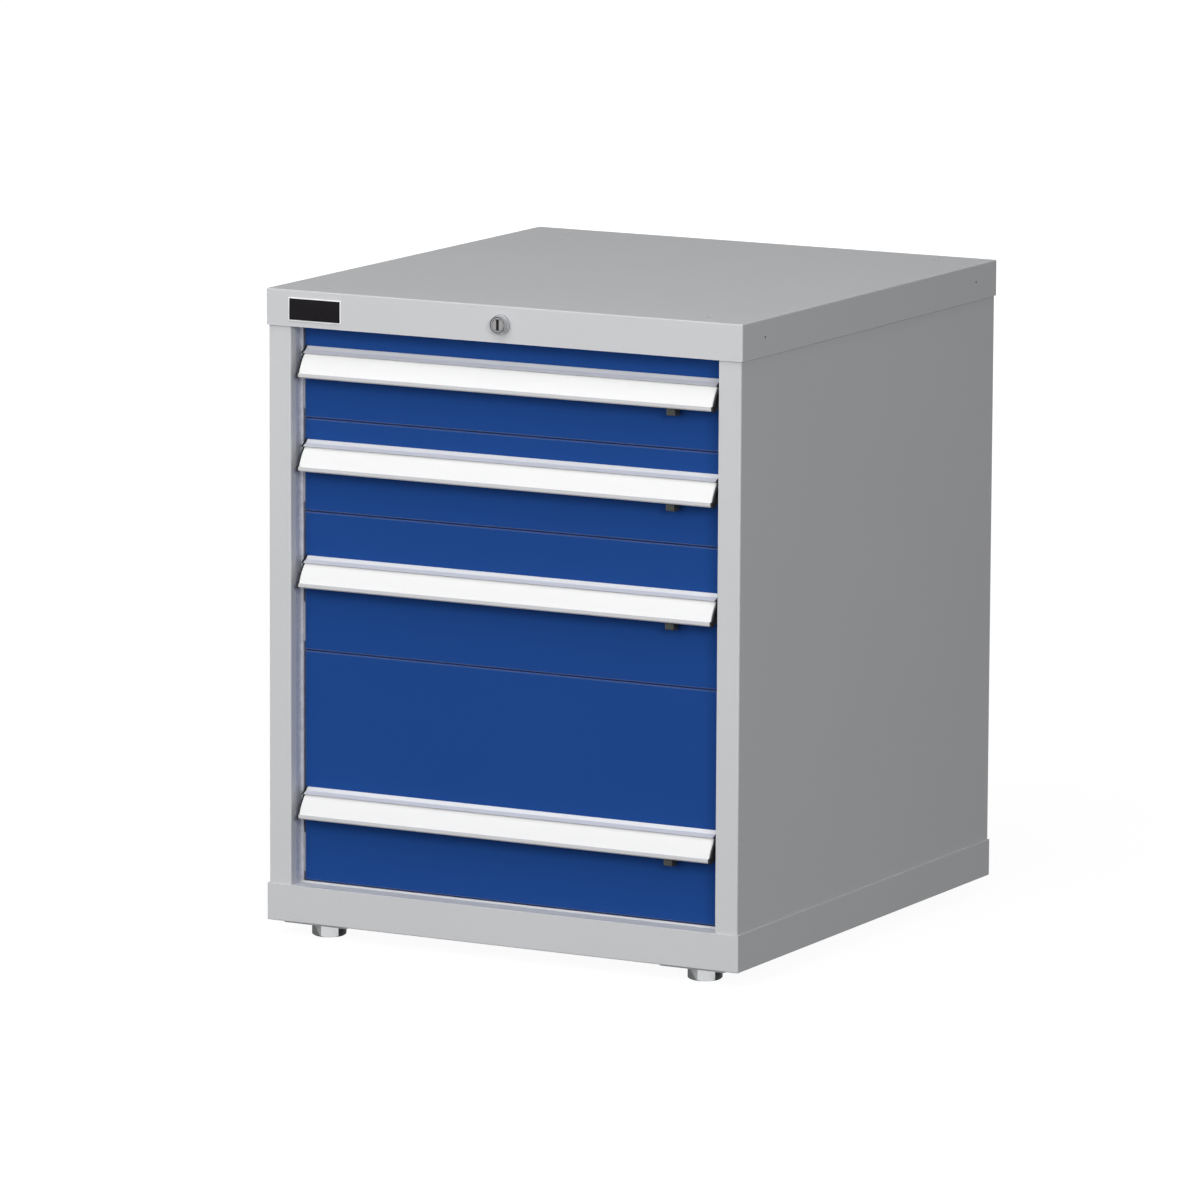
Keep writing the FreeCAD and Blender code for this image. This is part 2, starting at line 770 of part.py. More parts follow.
def make_lock_guides():
    """Guide blocks on the back panel, and the bracket under the cover that carries the rod."""
    members = []
    wall = "bar_width / 2 + guide_play + guide_wall"
    for number in DRAWERS:
        body = new_body("lock_guide_%s" % number,
                        housing_place("0", "bar_place", "drawer_%s_floor + guide_lift" % number))
        front = "guide_play + guide_wall"
        pad(body, "XY_Plane", "0", "guide_height",
            [box_loop("-(%s)" % wall, wall, "-(%s)" % front, "body_back - bar_place")])
        cut(body, "XY_Plane", "-1", "guide_height + 2",
            [box_loop("-(bar_width / 2 + guide_play)", "bar_width / 2 + guide_play",
                      "-guide_play", "bar_sheet + guide_play")])
        members.append(body)
    bracket = new_body("rod_bracket", housing_place("0", "bracket_place", "lock_height"))
    high = "lock_below_top - cover_sheet"
    pad(bracket, "XZ_Plane", "0", "bracket_sheet",
        [box_loop("-bracket_width / 2", "bracket_width / 2", "-bracket_drop", high)],
        [("0", "0", "rod_diameter + 2 * rod_play")])
    members.append(bracket)
    group("lock_guides", members)


# Slides

def rail_body(name, number, setback, loop, length):
    body = new_body(name, drawer_place(number))
    pad(body, "XZ_Plane", setback, length, [loop])
    return body


def rail_loop(points):
    """A rail's section: points give the way in from the upright's face and the height from
    the slide's middle."""
    return [("upright_face - (%s)" % way, "slide_middle + (%s)" % height)
            for way, height in points]


def channel(near_side, far_side, half, lip):
    """A channel with its web at near_side and lips turned in at far_side."""
    inner = "(%s) - rail_sheet" % half
    lip_start = "(%s) - rail_sheet" % far_side
    lip_end = "(%s) - (%s)" % (half, lip)
    web = "(%s) + rail_sheet" % near_side
    return [
        (near_side, "-(%s)" % half), (far_side, "-(%s)" % half),
        (far_side, "-(%s)" % lip_end), (lip_start, "-(%s)" % lip_end),
        (lip_start, "-(%s)" % inner), (web, "-(%s)" % inner),
        (web, inner), (lip_start, inner),
        (lip_start, lip_end), (far_side, lip_end),
        (far_side, half), (near_side, half),
    ]


def make_slides(number):
    outer = rail_body("outer_rail_%s" % number, number, "slide_setback",
                      rail_loop(channel("0", "outer_flange", "half_slide", "outer_lip")),
                      "slide_length")
    group("drawer_%s_outer_rails" % number, [outer, mirrored(outer)])

    far = "middle_place + middle_width"
    middle = rail_body("middle_rail_%s" % number, number, "slide_setback + middle_setback",
                       rail_loop(channel("middle_place", far, "middle_half", "middle_lip")),
                       "slide_length - 2 * middle_setback")
    group("drawer_%s_middle_rails" % number, [middle, mirrored(middle)])

    web = "slide_thickness - rail_sheet"
    tip = "slide_thickness - inner_width"
    thin = "inner_half - rail_sheet"
    inner = rail_body("inner_rail_%s" % number, number, "slide_setback", rail_loop([
        ("slide_thickness", "-(inner_half)"), (tip, "-(inner_half)"),
        (tip, "-(%s)" % thin), (web, "-(%s)" % thin),
        (web, thin), (tip, thin),
        (tip, "inner_half"), ("slide_thickness", "inner_half"),
    ]), "slide_length")
    group("drawer_%s_inner_rails" % number, [inner, mirrored(inner)])


def make_balls(number):
    """Balls between the rails. Each row sits where the two rails still overlap when the drawer
    is right out: the outer rows in the rear half, the inner rows in the front half."""
    rows = (
        ("outer_race", "middle_half + outer_race / 2", "middle_place + rail_sheet",
         "slide_setback + slide_length / 2"),
        ("inner_race", "inner_half + inner_race / 2", "slide_thickness - inner_width",
         "slide_setback"),
    )
    balls = []
    for race, height, near_side, start in rows:
        radius = num(race + " / 2 - ball_play")
        across = num(near_side) + radius + 2 * num("ball_play")
        for side in (-1, 1):
            for up in (-1, 1):
                for index in range(BALLS_PER_ROW):
                    along = num(start) + num("ball_spacing") * (index + 0.7)
                    centre = Vector(side * (num("upright_face") - across), along,
                                    num("slide_middle") + up * num(height))
                    balls.append(Part.makeSphere(radius, centre))
    feature = doc.addObject("Part::Feature", "drawer_%s_slide_balls" % number)
    feature.Label = feature.Name
    feature.Shape = Part.makeCompound(balls)
    feature.Placement = Placement(Vector(
        0, num("shell_front + front_recess"), num("foot_height + drawer_%s_floor" % number)),
        Rotation())
    nodes.append(feature)


# Drawers

def make_front(number):
    body = new_body("drawer_%s_front" % number, drawer_place(number))
    high = "drawer_%s_pitch - front_gap + front_lift" % number
    pad(body, "XZ_Plane", "0", "front_fold",
        [box_loop("-front_half", "front_half", "front_lift", high)])

    def rim(a, b):
        return near(a.y, 0) and near(b.y, 0)

    round_edges(body, "front_radius", rim)
    cut(body, "XZ_Plane", "front_sheet", "front_fold",
        [box_loop("front_sheet - front_half", "front_half - front_sheet",
                  "front_lift + front_sheet", high + " - front_sheet")])
    for side in (-1, 1):
        low = "front_half - 2 * front_sheet"
        start = low if side > 0 else "-front_half - front_sheet"
        cut(body, "YZ_Plane", start, "3 * front_sheet",
            [box_loop("front_sheet", "front_fold + 1", "slide_lift - relief_gap",
                      "slide_lift + slide_height + relief_gap")])
    nodes.append(body)


def make_box(number):
    """An open box with hemmed side walls, divider slots in its end walls and the tab that the
    lock bar's hook holds."""
    body = new_body("drawer_%s_box" % number, drawer_place(number))
    wall = "drawer_%s_pitch - box_headroom - box_lift" % number
    start = "front_sheet"
    end = "front_sheet + box_length"
    pad(body, "XY_Plane", "box_lift", wall,
        [box_loop("-box_half", "box_half", start, end)])
    cut(body, "XY_Plane", "box_lift + box_sheet", wall,
        [box_loop("box_sheet - box_half", "box_half - box_sheet",
                  start + " + box_sheet", end + " - box_sheet")])
    top = "drawer_%s_pitch - box_headroom" % number
    for side in (-1, 1):
        hem = [("%d * (%s)" % (side, u), v) for u, v in box_loop(
            "box_half - box_hem", "box_half - box_sheet",
            start + " + box_sheet", end + " - box_sheet")]
        pad(body, "XY_Plane", top + " - box_sheet", "box_sheet", [hem])
    slot_low = top + " - divider_slot_height - box_hem"
    for wall_start in (start, end + " - box_sheet"):
        low = "divider_margin - box_half"
        slot = cut(body, "XZ_Plane", wall_start + " - box_sheet / 2", "2 * box_sheet",
                   [box_loop(low, low + " + divider_slot", slot_low,
                             slot_low + " + divider_slot_height")])
        repeat(body, slot, "X_Axis", "divider_pitch",
               "(2 * box_half - 2 * divider_margin) / divider_pitch + 1")
    tab = [
        (end, "tab_top - tab_sheet"), (end + " + tab_reach - tab_sheet", "tab_top - tab_sheet"),
        (end + " + tab_reach - tab_sheet", "tab_top - tab_lip"),
        (end + " + tab_reach", "tab_top - tab_lip"), (end + " + tab_reach", "tab_top"),
        (end, "tab_top"),
    ]
    pad(body, "YZ_Plane", "-tab_width / 2", "tab_width", [tab])
    nodes.append(body)


def handle_loop(corners, number):
    """Handle corners given forwards and down, turned into places on the drawer's YZ plane."""
    top = RISES[number]
    placed = []
    for corner in corners:
        spot = ("-(%s)" % corner[0], "%s - (%s)" % (top, corner[1]))
        if len(corner) > 2:
            spot += (corner[2], "grip_back", "%s - grip_drop" % top)
        placed.append(spot)
    return placed


def make_handle(number):
    body = new_body("drawer_%s_handle" % number, drawer_place(number))
    slot_top = "label_top - label_tuck"
    slot_low = "label_bottom + label_tuck"
    inside = "lip_reach - lip_wall"
    turn = "grip_drop - sqrt((wall_inner)^2 - (grip_back + %s)^2)"
    section = [
        ("0", "0"),
        ("hood_edge", "0"),
        ("hood_shoulder_reach", "hood_shoulder_drop"),
        ("hood_reach", "hood_drop"),
        (on_grip("slot_outer", "label_top"), "label_top"),
        (on_grip("slot_outer", slot_top), slot_top),
        (on_grip("wall_outer", slot_top), slot_top, "wall_outer"),
        (on_grip("wall_outer", slot_low), slot_low),
        (on_grip("slot_outer", slot_low), slot_low),
        (on_grip("slot_outer", "label_bottom"), "label_bottom"),
        ("lip_reach - 0.3", "label_bottom + 0.3"),
        ("lip_reach", "handle_height - 1.3"),
        ("lip_reach - 1.2", "handle_height"),
        (inside, "handle_height"),
        (inside, turn % ("(%s)" % inside), "wall_inner"),
        ("flange_sheet", turn % "flange_sheet"),
        ("flange_sheet", "rib_top"),
        ("rib_end - rib_lip", "rib_top"),
        ("rib_end - rib_lip", "rib_top - rib_lip_height"),
        ("rib_end", "rib_top - rib_lip_height"),
        ("rib_end", "rib_bottom"),
        ("0", "rib_bottom"),
    ]
    pad(body, "YZ_Plane", "-handle_length / 2", "handle_length", [handle_loop(section, number)])
    nodes.append(body)


def make_label(number):
    body = new_body("drawer_%s_label_strip" % number, drawer_place(number))
    top = "label_top - label_tuck + label_play"
    low = "label_bottom + label_tuck - label_play"
    section = [
        (on_grip("label_outer", top), top, "label_outer"),
        (on_grip("label_outer", low), low),
        (on_grip("label_inner", low), low, "label_inner"),
        (on_grip("label_inner", top), top),
    ]
    pad(body, "YZ_Plane", "label_end_play - handle_length / 2",
        "handle_length - 2 * label_end_play", [handle_loop(section, number)])
    nodes.append(body)


def make_handle_caps(number):
    """A moulded cap on each end, with a window that lets the catch's bar through."""
    body = new_body("handle_cap_%s" % number, drawer_place(number))
    proud = "end_cap_proud"
    section = [
        ("0", "-" + proud),
        ("hood_edge", "-" + proud),
        ("hood_shoulder_reach + %s" % proud, "hood_shoulder_drop - %s" % proud),
        ("hood_reach + %s" % proud, "hood_drop"),
        (on_grip("wall_outer", "label_top + " + proud), "label_top + " + proud, "wall_outer"),
        (on_grip("wall_outer", "label_bottom - " + proud), "label_bottom - " + proud),
        ("lip_reach + %s" % proud, "label_bottom"),
        ("lip_reach + %s" % proud, "handle_height - 1"),
        ("lip_reach - 1", "handle_height + " + proud),
        ("lip_reach - lip_wall", "handle_height + " + proud),
        ("0", "rib_bottom + " + proud),
    ]
    window = box_loop("catch_bar_back - catch_play", "catch_bar_front + catch_play",
                      "catch_bar_top - catch_play", "catch_bar_bottom + catch_play")
    pad(body, "YZ_Plane", "handle_length / 2", "end_cap",
        [handle_loop(section, number), handle_loop(window, number)])
    group("drawer_%s_handle_caps" % number, [body, mirrored(body)])


def make_catch(number):
    """The safety catch: a thumb piece under the handle, hung over the rib from the bar that
    reaches to the keeper slot in the post."""
    body = new_body("drawer_%s_catch" % number, drawer_place(number))
    section = [
        ("catch_bar_back", "catch_bar_bottom"),
        ("catch_bar_back", "catch_bar_top"),
        ("catch_bar_front", "catch_bar_top"),
        ("catch_bar_front", "catch_neck_top"),
        ("catch_neck_front", "catch_neck_top"),
        ("catch_neck_front", "rib_bottom + catch_play"),
        ("catch_thumb_front", "rib_bottom + catch_play"),
        ("catch_thumb_front", "catch_thumb_drop - 1.5"),
        ("catch_thumb_front - 1.5", "catch_thumb_drop"),
        ("catch_thumb_back", "catch_thumb_drop"),
        ("catch_thumb_back", "rib_bottom + catch_play"),
        ("catch_neck_back", "rib_bottom + catch_play"),
        ("catch_neck_back", "catch_neck_bottom"),
        ("catch_bar_front", "catch_neck_bottom"),
        ("catch_bar_front", "catch_bar_bottom"),
    ]
    pad(body, "YZ_Plane", "catch_left", "catch_width", [handle_loop(section, number)])
    bar = box_loop("catch_bar_back", "catch_bar_front", "catch_bar_top", "catch_bar_bottom")
    pad(body, "YZ_Plane", "catch_left", "post_inside - keeper_gap - (catch_left)",
        [handle_loop(bar, number)])
    nodes.append(body)


def check(thing):
    """Stop with a plain message if a feature failed or a shape is missing or not valid."""
    for item in doc.Objects:
        if "Invalid" in item.State or "Error" in item.State:
            raise RuntimeError("%s did not compute: %s" % (item.Name, item.State))
    shape = thing.Shape
    if shape.isNull() or not shape.isValid() or not shape.Solids:
        raise RuntimeError("%s has no sound solid" % thing.Label)


make_top_cover()
make_base_tray()
make_side_panel("left_side_panel", -1)
make_side_panel("right_side_panel", 1)
make_back_panel()
make_back_screws()
make_uprights()
make_keeper_strips()
make_nameplate()
make_foot_plates()
make_feet()
group("fixing_nuts", make_foot_nuts() + [make_lock()])
make_lock_bar()
make_lock_guides()
for drawer in DRAWERS:
    make_slides(drawer)
    make_balls(drawer)
    make_front(drawer)
    make_box(drawer)
    make_handle(drawer)
    make_label(drawer)
    make_handle_caps(drawer)
    make_catch(drawer)

doc.recompute()
os.makedirs("parts", exist_ok=True)
for node in nodes:
    check(node)
for node in nodes:
    node.Shape.exportStep("parts/%s.step" % node.Label)
whole = Part.makeCompound([node.Shape for node in nodes])
print("%d nodes, %d solids" % (len(nodes), len(whole.Solids)))
print("box", [round(value, 3) for value in (
    whole.BoundBox.XMin, whole.BoundBox.YMin, whole.BoundBox.ZMin,
    whole.BoundBox.XMax, whole.BoundBox.YMax, whole.BoundBox.ZMax)])
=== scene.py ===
import math

import bpy
from mathutils import Matrix, Vector


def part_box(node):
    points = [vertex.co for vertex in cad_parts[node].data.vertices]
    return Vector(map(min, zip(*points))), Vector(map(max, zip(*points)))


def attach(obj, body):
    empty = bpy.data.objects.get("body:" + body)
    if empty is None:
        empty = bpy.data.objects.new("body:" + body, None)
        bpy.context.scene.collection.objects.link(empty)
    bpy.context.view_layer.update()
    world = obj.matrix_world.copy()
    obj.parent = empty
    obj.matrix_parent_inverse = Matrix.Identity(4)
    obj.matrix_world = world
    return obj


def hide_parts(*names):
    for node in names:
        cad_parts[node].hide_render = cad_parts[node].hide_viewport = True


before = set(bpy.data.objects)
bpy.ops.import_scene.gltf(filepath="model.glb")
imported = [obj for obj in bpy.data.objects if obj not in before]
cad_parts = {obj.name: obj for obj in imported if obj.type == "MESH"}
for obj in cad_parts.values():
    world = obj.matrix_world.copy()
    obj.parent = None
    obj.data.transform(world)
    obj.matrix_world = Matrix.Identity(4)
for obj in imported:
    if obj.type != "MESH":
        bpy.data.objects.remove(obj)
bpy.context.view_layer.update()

MM = 0.001
DRAWERS = (1, 2, 3, 4)
bpy.ops.object.select_all(action="DESELECT")


# Materials

# a Mix node's sockets for its two colours, and its output for the mixed one
FIRST = 6
SECOND = 7
MIXED = 2

# in millimetres, the patterns' sizes and the reliefs' depths. The print's grain is drawn
# coarser than the real one so that it shows
CLOUD_MM = 160
PEEL_MM = 2.6
PEEL_DEPTH = 0.2
# how far from a fold the painted edge highlight reaches
EDGE_HIGHLIGHT_MM = 2
CRYSTAL_MM = 6
PRINT_GRAIN_MM = 4
FINE_DEPTH = 0.1


def linear(colour):
    """An sRGB hex colour as linear RGBA."""
    parts = [int(colour[i:i + 2], 16) / 255 for i in (1, 3, 5)]
    return [p / 12.92 if p <= 0.04045 else ((p + 0.055) / 1.055) ** 2.4 for p in parts] + [1]


def new_material(name):
    """A material with an empty node tree."""
    material = bpy.data.materials.new(name)
    material.use_nodes = True
    material.node_tree.nodes.clear()
    return material


def node(tree, kind, links=(), values=(), **settings):
    """A node with its links (socket, output to link from), its socket values (socket: value) and
    its own settings."""
    made = tree.nodes.new(kind)
    for key, value in settings.items():
        setattr(made, key, value)
    for socket, value in dict(values).items():
        made.inputs[socket].default_value = value
    for socket, output in links:
        tree.links.new(output, made.inputs[socket])
    return made


def surface(tree, shader):
    """Gives a material its surface."""
    node(tree, "ShaderNodeOutputMaterial", [("Surface", shader.outputs[0])])


def object_points(tree, stretch=(1, 1, 1)):
    """Object coordinates in metres, stretched by a Mapping node."""
    coordinates = node(tree, "ShaderNodeTexCoord")
    return node(tree, "ShaderNodeMapping", [("Vector", coordinates.outputs["Object"])],
                {"Scale": stretch}).outputs[0]


def powder_coat(name, colour, shade, edge, sheen, rough=0.42):
    """Polyester powder coat, sprayed and baked on steel sheet: an even colour with faint clouding, a
    soft sheen and a fine orange-peel surface. Its folds and edges carry a painted highlight: a paler
    colour is mixed in where the surface turns, standing in for the light they catch. The peel is
    drawn coarser than the real one of about 1 mm so that it shows."""
    material = new_material(name)
    tree = material.node_tree
    points = object_points(tree)
    cloud = node(tree, "ShaderNodeTexNoise", [("Vector", points)],
                 {"Scale": 1 / (CLOUD_MM * MM), "Detail": 3, "Roughness": 0.55})
    tint = node(tree, "ShaderNodeMix", [(0, cloud.outputs["Fac"])],
                {FIRST: linear(shade), SECOND: linear(colour)}, data_type="RGBA")
    # painted highlight: near a fold or edge, where the rounded normal turns from the face's own, up
    # to half of the edge colour is mixed in
    rounded = node(tree, "ShaderNodeBevel", (), {"Radius": EDGE_HIGHLIGHT_MM * MM}, samples=6)
    facing = node(tree, "ShaderNodeNewGeometry")
    turn = node(tree, "ShaderNodeVectorMath", [(0, rounded.outputs[0]),
                                               (1, facing.outputs["Normal"])],
                operation="DOT_PRODUCT")
    edge_highlight_mask = node(tree, "ShaderNodeMapRange", [("Value", turn.outputs["Value"])],
                {"From Min": 0.995, "From Max": 0.93, "To Max": 0.5})
    coat = node(tree, "ShaderNodeMix", [(0, edge_highlight_mask.outputs[0]), (FIRST, tint.outputs[MIXED])],
                {SECOND: linear(edge)}, data_type="RGBA")
    peel = node(tree, "ShaderNodeTexNoise", [("Vector", points)],
                {"Scale": 1 / (PEEL_MM * MM), "Detail": 2})
    bump = node(tree, "ShaderNodeBump", [("Height", peel.outputs["Fac"])],
                {"Strength": 0.12, "Distance": PEEL_DEPTH * MM})
    gloss = node(tree, "ShaderNodeMapRange", [("Value", peel.outputs["Fac"])],
                 {"To Min": rough - 0.05, "To Max": rough + 0.05})
    shader = node(tree, "ShaderNodeBsdfPrincipled",
                  [("Base Color", coat.outputs[MIXED]), ("Normal", bump.outputs[0]),
                   ("Roughness", gloss.outputs[0])],
                  {"IOR": 1.5, "Specular IOR Level": sheen})
    surface(tree, shader)
    return material


def drawn_metal(name, colour, shade, rough, stretch, grain_mm, grain=0.15, metallic=1,
                top_highlight=None):
    """A bare or plated metal with fine lines along the way it was drawn or rolled, or an even grain
    where the stretch is 1 each way. Real lines are 0.1 mm apart or less, and these are drawn coarser
    so that they show. Faces that turn upwards can be given a paler colour of their own, a painted
    highlight that stands in for the light they catch."""
    material = new_material(name)
    tree = material.node_tree
    points = object_points(tree, stretch)
    lines = node(tree, "ShaderNodeTexNoise", [("Vector", points)],
                 {"Scale": 1 / (grain_mm * MM), "Detail": 3, "Roughness": 0.6})
    tint = node(tree, "ShaderNodeMix", [(0, lines.outputs["Fac"])],
                {FIRST: linear(shade), SECOND: linear(colour)}, data_type="RGBA")
    # painted highlight: faces turning upwards get the paler top colour
    if top_highlight:
        facing = node(tree, "ShaderNodeNewGeometry")
        axes = node(tree, "ShaderNodeSeparateXYZ", [(0, facing.outputs["Normal"])])
        top_highlight_mask = node(tree, "ShaderNodeMapRange", [("Value", axes.outputs["Z"])],
                       {"From Min": 0.25, "From Max": 0.6})
        tint = node(tree, "ShaderNodeMix", [(0, top_highlight_mask.outputs[0]),
                                            (FIRST, tint.outputs[MIXED])],
                    {SECOND: linear(top_highlight)}, data_type="RGBA")
    gloss = node(tree, "ShaderNodeMapRange", [("Value", lines.outputs["Fac"])],
                 {"To Min": rough - 0.07, "To Max": rough + 0.07})
    bump = node(tree, "ShaderNodeBump", [("Height", lines.outputs["Fac"])],
                {"Strength": grain, "Distance": FINE_DEPTH * MM})
    shader = node(tree, "ShaderNodeBsdfPrincipled",
                  [("Base Color", tint.outputs[MIXED]), ("Roughness", gloss.outputs[0]),
                   ("Normal", bump.outputs[0])], {"Metallic": metallic})
    surface(tree, shader)
    return material


def galvanised(name, colour, shade):
    """Hot-dip galvanised steel strip: grey with a pattern of flat crystals, each a little
    lighter or darker and glossier or duller than the next."""
    material = new_material(name)
    tree = material.node_tree
    points = object_points(tree)
    spangle = node(tree, "ShaderNodeTexVoronoi", [("Vector", points)],
                   {"Scale": 1 / (CRYSTAL_MM * MM)})
    tone = node(tree, "ShaderNodeSeparateColor", [("Color", spangle.outputs["Color"])])
    tint = node(tree, "ShaderNodeMix", [(0, tone.outputs[0])],
                {FIRST: linear(shade), SECOND: linear(colour)}, data_type="RGBA")
    gloss = node(tree, "ShaderNodeMapRange", [("Value", tone.outputs[1])],
                 {"To Min": 0.38, "To Max": 0.58})
    shader = node(tree, "ShaderNodeBsdfPrincipled",
                  [("Base Color", tint.outputs[MIXED]), ("Roughness", gloss.outputs[0])],
                  {"Metallic": 0.3})
    surface(tree, shader)
    return material


def moulded(name, colour, shade, rough, grain_mm=1.2, grain=0.2):
    """Injection-moulded plastic with a fine spark-eroded grain, or card with a fainter one. Real
    grain is 0.1 mm or less, and this is drawn coarser so that it shows."""
    material = new_material(name)
    tree = material.node_tree
    points = object_points(tree)
    erosion = node(tree, "ShaderNodeTexNoise", [("Vector", points)],
                   {"Scale": 1 / (grain_mm * MM), "Detail": 2})
    tint = node(tree, "ShaderNodeMix", [(0, erosion.outputs["Fac"])],
                {FIRST: linear(shade), SECOND: linear(colour)}, data_type="RGBA")
    bump = node(tree, "ShaderNodeBump", [("Height", erosion.outputs["Fac"])],
                {"Strength": grain, "Distance": FINE_DEPTH * MM})
    shader = node(tree, "ShaderNodeBsdfPrincipled",
                  [("Base Color", tint.outputs[MIXED]), ("Normal", bump.outputs[0])],
                  {"Roughness": rough, "IOR": 1.49})
    surface(tree, shader)
    return material


def printed_plate(name, border, field, field_light, low, high, margin):
    """A thin plastic plate printed black inside a white border, left bare: a smooth, almost
    black field with hardly any gloss. The border is what lies less than the margin inside the plate's
    lowest and highest corners."""
    material = new_material(name)
    tree = material.node_tree
    coordinates = node(tree, "ShaderNodeTexCoord")
    apart = node(tree, "ShaderNodeVectorMath", [(0, coordinates.outputs["Object"])],
                 {1: (low + high) / 2}, operation="SUBTRACT")
    away = node(tree, "ShaderNodeVectorMath", [(0, apart.outputs[0])], operation="ABSOLUTE")
    axes = node(tree, "ShaderNodeSeparateXYZ", [(0, away.outputs[0])])
    half = (high - low) / 2
    ends = node(tree, "ShaderNodeMath", [(0, axes.outputs["X"])], {1: half.x - margin},
                operation="GREATER_THAN")
    edges = node(tree, "ShaderNodeMath", [(0, axes.outputs["Z"])], {1: half.z - margin},
                 operation="GREATER_THAN")
    in_border = node(tree, "ShaderNodeMath", [(0, ends.outputs[0]), (1, edges.outputs[0])],
                     operation="MAXIMUM")
    grain = node(tree, "ShaderNodeTexNoise", [("Vector", coordinates.outputs["Object"])],
                 {"Scale": 1 / (PRINT_GRAIN_MM * MM), "Detail": 2})
    ink = node(tree, "ShaderNodeMix", [(0, grain.outputs["Fac"])],
               {FIRST: linear(field), SECOND: linear(field_light)}, data_type="RGBA")
    tint = node(tree, "ShaderNodeMix", [(0, in_border.outputs[0]), (FIRST, ink.outputs[MIXED])],
                {SECOND: linear(border)}, data_type="RGBA")
    bump = node(tree, "ShaderNodeBump", [("Height", grain.outputs["Fac"])],
                {"Strength": 0.03, "Distance": FINE_DEPTH * MM})
    shader = node(tree, "ShaderNodeBsdfPrincipled",
                  [("Base Color", tint.outputs[MIXED]), ("Normal", bump.outputs[0])],
                  {"Roughness": 0.28, "IOR": 1.49, "Specular IOR Level": 0.08})
    surface(tree, shader)
    return material


# housing: a plain satin grey, with a painted highlight along its folds
housing_grey = powder_coat("light_grey_powder_coat", "#cecfd1", "#cacbcd", edge="#e0e1ea",
                           sheen=0.14)
# drawer fronts: a deep blue with hardly any sheen, and a pale painted highlight along the edges
front_blue = powder_coat("blue_powder_coat", "#20498f", "#204689", edge="#aca498", sheen=0.025,
                         rough=0.40)
# drawer boxes: a slightly darker satin grey than the housing's, with a painted highlight along its
# folds
box_grey = powder_coat("drawer_grey_powder_coat", "#c6c8ca", "#c2c4c6", edge="#dcdee2", sheen=0.2)
# uprights and keeper strips: a light grey with flat crystals
strip_steel = galvanised("galvanised_steel_strip", "#dcdee6", "#cdcfd7")
# slide rails, rolled and plated: a dull silver with lines along the slide
rail_steel = drawn_metal("zinc_plated_cold_rolled_steel", "#ced1d6", "#bfc2c7", rough=0.38,
                         stretch=(1, 0.02, 1), grain_mm=0.8, metallic=0.35)
# slide balls, ground and polished: a bright, even shine
ball_steel = drawn_metal("polished_bearing_steel", "#dcdee2", "#d4d6da", rough=0.12,
                         stretch=(1, 1, 1), grain_mm=2.0, grain=0.0)
# handles, extruded and anodised: a soft silver with lines along the handle, and a painted highlight
# that makes it palest on top
anodised = drawn_metal("satin_anodised_aluminium", "#cbcbcd", "#c4c4c6", rough=0.34,
                       stretch=(0.015, 1, 1), grain_mm=0.9, metallic=0.25, top_highlight="#e5e6ea")
# screws, nuts, feet and the lock's inner parts, turned and plated: a bright silver
zinc = drawn_metal("zinc_plated_turned_steel", "#d9dbdc", "#cbcdcf", rough=0.14,
                   stretch=(1, 1, 0.3), grain_mm=1.2, metallic=0.9)
# lock case: an even grey shine
chrome = drawn_metal("satin_chrome_plate", "#c4c5c8", "#b9babd", rough=0.20, stretch=(1, 1, 1),
                     grain_mm=3.0, grain=0.02, metallic=0.7)
# lock plug: a darker and duller grey than the case
nickel = drawn_metal("satin_nickel_plate", "#a5a4a4", "#999898", rough=0.30, stretch=(1, 1, 1),
                     grain_mm=0.8, metallic=0.6)
# end caps, side plugs, the black ring that paints the shade in the lock's groove, and the block in
# the key slot that is a shutter and paints the slot's shade: a dull black
cap_black = moulded("black_moulded_nylon", "#17181a", "#111214", rough=0.45)
# safety catches: a dark grey with a faint gloss
catch_grey = moulded("dark_moulded_acetal", "#484944", "#3d3e39", rough=0.42)
# label strips: plain white, smooth and almost without a gloss
label_white = moulded("white_card_strip", "#efefef", "#ececec", rough=0.5, grain_mm=3.0,
                      grain=0.05)


def dress(name, material):
    """Gives a CAD node its material."""
    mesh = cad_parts[name].data
    mesh.materials.clear()
    mesh.materials.append(material)


for name in ("top_cover", "base_tray", "left_side_panel", "right_side_panel", "back_panel",
             "foot_plates"):
    dress(name, housing_grey)
for name in ("uprights", "keeper_strips"):
    dress(name, strip_steel)
for name in ("back_screws", "fixing_nuts", "foot_front_left", "foot_front_right",
             "foot_rear_left", "foot_rear_right", "lock_rod", "lock_bar", "lock_guides"):
    dress(name, zinc)
dress("lock_housing", chrome)
dress("lock_plug", nickel)
for number in DRAWERS:
    prefix = "drawer_%d_" % number
    dress(prefix + "front", front_blue)
    dress(prefix + "box", box_grey)
    dress(prefix + "handle", anodised)
    dress(prefix + "handle_caps", cap_black)
    dress(prefix + "label_strip", label_white)
    dress(prefix + "catch", catch_grey)
    for rails in ("outer_rails", "middle_rails", "inner_rails"):
        dress(prefix + rails, rail_steel)
    dress(prefix + "slide_balls", ball_steel)


# Modelling

# in degrees: edges between faces that turn less than this are shaded smooth
SMOOTH_BELOW = 35
# in metres: points closer than this are one
SAME_POINT = 0.000001


def lone(piece):
    """Makes a piece the only one selected, and the active one."""
    bpy.ops.object.select_all(action="DESELECT")
    piece.select_set(True)
    bpy.context.view_layer.objects.active = piece


def place(piece, spot=None, turn=(0, 0, 0)):
    """Keeps a piece's place in its mesh, at a spot in millimetres if one is given, turned by
    these degrees."""
    lone(piece)
    if spot is not None:
        piece.location = Vector(spot) * MM
        piece.rotation_euler = [math.radians(angle) for angle in turn]
    bpy.ops.object.transform_apply(location=True, rotation=True, scale=True)


